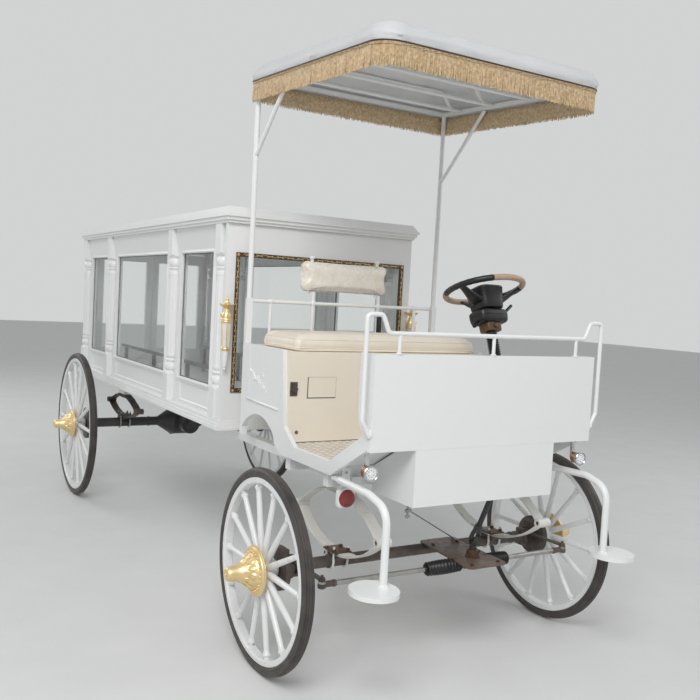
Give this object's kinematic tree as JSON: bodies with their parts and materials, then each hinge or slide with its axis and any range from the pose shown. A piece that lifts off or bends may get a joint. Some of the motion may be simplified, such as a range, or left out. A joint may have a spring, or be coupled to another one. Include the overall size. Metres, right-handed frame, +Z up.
{
  "type": "glass-sided funeral carriage",
  "caption": "White glass-sided funeral carriage with spoked wheels, a driver's cab with steering wheel, a fringed canopy and rear doors.",
  "frame": {"origin": "On the ground under the middle of the bounding box", "axes": "+X forward, +Y to the vehicle's left, +Z up"},
  "size_m": [4.774, 1.9, 2.6983],
  "materials": {
    "white_paint": "gloss",
    "white_wheel": "gloss",
    "gold": "satin",
    "bronze": "satin",
    "tyre_rubber": "matt",
    "black_rubber": "matt",
    "black_paint": "satin",
    "dark_steel": "satin",
    "steel": "satin",
    "glass": "gloss",
    "beige_leather": "satin",
    "cream_wood": "satin",
    "canopy_cloth": "matt",
    "gold_fringe": "satin",
    "lamp": "gloss",
    "black_plastic": "matt"
  },
  "bodies": {
    "carriage": {"chassis_frame": "black_paint", "front_axle": "dark_steel", "rear_axle": "black_paint", "front_springs": "white_paint", "rear_springs": "black_paint", "body_deck": "white_paint", "body_posts": "white_paint", "side_walls": "white_paint", "front_wall": "white_paint", "front_window_frame": "bronze", "rear_frame": "white_paint", "body_glass": "glass", "roof": "white_paint", "casket_rails": "steel", "cab_floor": "beige_leather", "cab_sides": "white_paint", "front_panel": "white_paint", "battery_box": "white_paint", "seat_box": "cream_wood", "seat_cushion": "beige_leather", "seat_back": "beige_leather", "cab_rails": "white_paint", "canopy_frame": "white_paint", "canopy_cover": "canopy_cloth", "canopy_fringe": "gold_fringe", "steps": "white_paint", "headlamps": "lamp", "marker_lamps": "white_paint", "lanterns": "gold", "steering_column": "black_plastic", "steering_gear": "bronze", "steering_shaft": "black_paint"},
    "knuckle_right": {"knuckle_right": "dark_steel"},
    "knuckle_left": {"knuckle_left": "dark_steel"},
    "rack": {"tie_rods": "steel"},
    "steering_wheel": {"steering_wheel": "black_plastic"},
    "front_right_wheel": {"wheel_front_right": "white_wheel", "tyre_front_right": "tyre_rubber", "hub_cap_front_right": "gold"},
    "front_left_wheel": {"wheel_front_left": "white_wheel", "tyre_front_left": "tyre_rubber", "hub_cap_front_left": "gold"},
    "rear_right_wheel": {"wheel_rear_right": "white_wheel", "tyre_rear_right": "tyre_rubber", "hub_cap_rear_right": "gold"},
    "rear_left_wheel": {"wheel_rear_left": "white_wheel", "tyre_rear_left": "tyre_rubber", "hub_cap_rear_left": "gold"},
    "rear_right_door": {"rear_door_right": "white_paint", "rear_door_glass_right": "glass"},
    "rear_left_door": {"rear_door_left": "white_paint", "rear_door_glass_left": "glass"}
  },
  "joints": [
    {"name": "steer_right", "type": "hinge", "parent": "carriage", "child": "knuckle_right", "pos_m": [1.703, -0.655, 0.42], "axis": [0, 0, 1], "range_deg": [-20, 20]},
    {"name": "steer_left", "type": "hinge", "parent": "carriage", "child": "knuckle_left", "pos_m": [1.703, 0.655, 0.42], "axis": [0, 0, 1], "range_deg": [-20, 20]},
    {"name": "rack_slide", "type": "slide", "parent": "carriage", "child": "rack", "axis": [0, 1, 0], "range_m": [-0.0901, 0.0901]},
    {"name": "steering_wheel_turn", "type": "hinge", "parent": "carriage", "child": "steering_wheel", "pos_m": [1.613, 0.37, 1.628], "axis": [-0.342, 0, 0.9397], "range_deg": [-541, 541]},
    {"name": "front_right_roll", "type": "hinge", "parent": "knuckle_right", "child": "front_right_wheel", "pos_m": [1.703, -0.783, 0.42], "axis": [0, 1, 0], "continuous": true},
    {"name": "front_left_roll", "type": "hinge", "parent": "knuckle_left", "child": "front_left_wheel", "pos_m": [1.703, 0.783, 0.42], "axis": [0, 1, 0], "continuous": true},
    {"name": "rear_right_roll", "type": "hinge", "parent": "carriage", "child": "rear_right_wheel", "pos_m": [-1.561, -0.783, 0.521], "axis": [0, 1, 0], "continuous": true},
    {"name": "rear_left_roll", "type": "hinge", "parent": "carriage", "child": "rear_left_wheel", "pos_m": [-1.561, 0.783, 0.521], "axis": [0, 1, 0], "continuous": true},
    {"name": "rear_right_door_hinge", "type": "hinge", "parent": "carriage", "child": "rear_right_door", "pos_m": [-2.367, -0.468, 1.372], "axis": [0, 0, 1], "range_deg": [0, 110]},
    {"name": "rear_left_door_hinge", "type": "hinge", "parent": "carriage", "child": "rear_left_door", "pos_m": [-2.367, 0.468, 1.372], "axis": [0, 0, -1], "range_deg": [0, 110]}
  ],
  "couplings": [
    {"joint": "steer_left", "follows": "steer_right", "ratio": 1},
    {"joint": "rack_slide", "follows": "steer_right", "m_per_rad": 0.25671},
    {"joint": "steering_wheel_turn", "follows": "steer_right", "ratio": 27}
  ]
}
